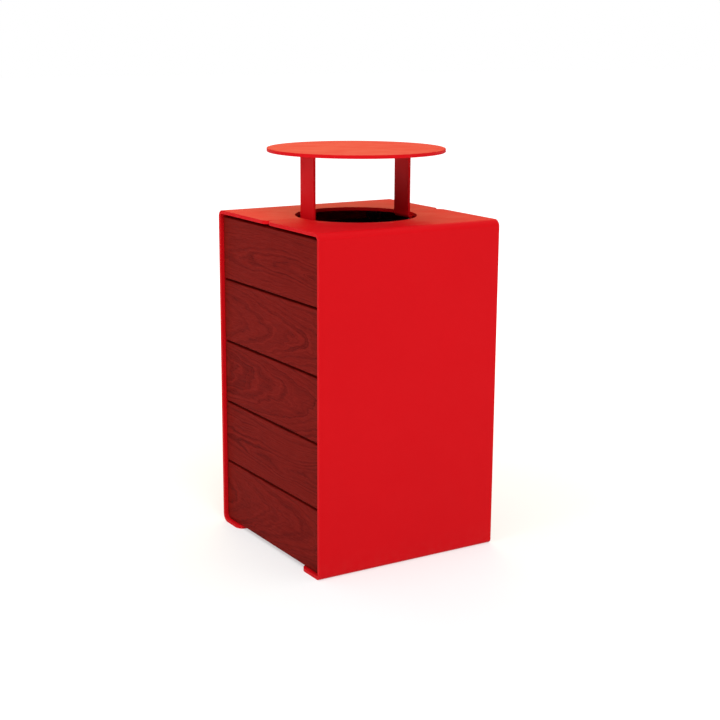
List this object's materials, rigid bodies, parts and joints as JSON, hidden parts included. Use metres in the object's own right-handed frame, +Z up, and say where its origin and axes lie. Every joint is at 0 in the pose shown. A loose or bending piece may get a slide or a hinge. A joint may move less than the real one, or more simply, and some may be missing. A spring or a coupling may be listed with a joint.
{
  "type": "dog waste bin",
  "caption": "Square dog waste bin: two folded plate shells with stained board sides, a round canopy over the throw hole, and a hinged side door to a lift-out liner.",
  "frame": {"origin": "centre of the square footprint at ground level", "axes": "+Z up, -Y towards the plain front panel, -X towards the fixed board side, +X towards the service door"},
  "size_m": [0.47, 0.47, 0.923],
  "materials": {
    "stained_wood": "satin stain with visible grain",
    "red_powder_coat": "satin powder coat",
    "black_coated_steel": "matt coating",
    "galvanised_steel": "dull zinc spangle",
    "brass": "satin",
    "chrome_lock": "polished",
    "zinc_plated_steel": "satin",
    "stainless_steel": "satin"
  },
  "bodies": {
    "bin": {"base_plate": "galvanised_steel", "base_screws": "stainless_steel", "canopy_disc": "red_powder_coat", "canopy_leg_left": "red_powder_coat", "canopy_leg_right": "red_powder_coat", "flange_nuts": "stainless_steel", "flange_studs": "stainless_steel", "flange_washers": "stainless_steel", "front_shell": "red_powder_coat", "hinge_fixed_lower": "galvanised_steel", "hinge_fixed_upper": "galvanised_steel", "hinge_washers": "brass", "left_board_1": "stained_wood", "left_board_2": "stained_wood", "left_board_3": "stained_wood", "left_board_4": "stained_wood", "left_board_5": "stained_wood", "left_board_screws": "stainless_steel", "left_front_post": "galvanised_steel", "left_rear_post": "galvanised_steel", "liner_lips": "galvanised_steel", "rear_shell": "red_powder_coat", "right_front_post": "galvanised_steel", "right_rear_post": "galvanised_steel"},
    "door": {"door_board_1": "stained_wood", "door_board_2": "stained_wood", "door_board_3": "stained_wood", "door_board_4": "stained_wood", "door_board_5": "stained_wood", "door_board_screws": "stainless_steel", "door_rail_bottom": "galvanised_steel", "door_rail_top": "galvanised_steel", "door_stile_front": "galvanised_steel", "door_stile_rear": "galvanised_steel", "hinge_moving_lower": "galvanised_steel", "hinge_moving_upper": "galvanised_steel", "lock_housing": "chrome_lock", "lock_nut": "zinc_plated_steel"},
    "lock": {"lock_plug": "chrome_lock", "lock_cam": "zinc_plated_steel", "lock_cam_screw": "zinc_plated_steel"},
    "liner": {"liner": "black_coated_steel"}
  },
  "joints": [
    {"name": "door_hinge", "type": "hinge", "parent": "bin", "child": "door", "pos_m": [0.229, 0.22, 0.3815], "axis": [0, 0, 1], "range_deg": [0, 120]},
    {"name": "lock_turn", "type": "hinge", "parent": "door", "child": "lock", "pos_m": [0.212, -0.18, 0.3815], "axis": [-1, 0, 0], "range_deg": [0, 90]},
    {"name": "liner_lift", "type": "slide", "parent": "bin", "child": "liner", "axis": [0, 0, 1], "range_m": [0, 0.01]}
  ]
}
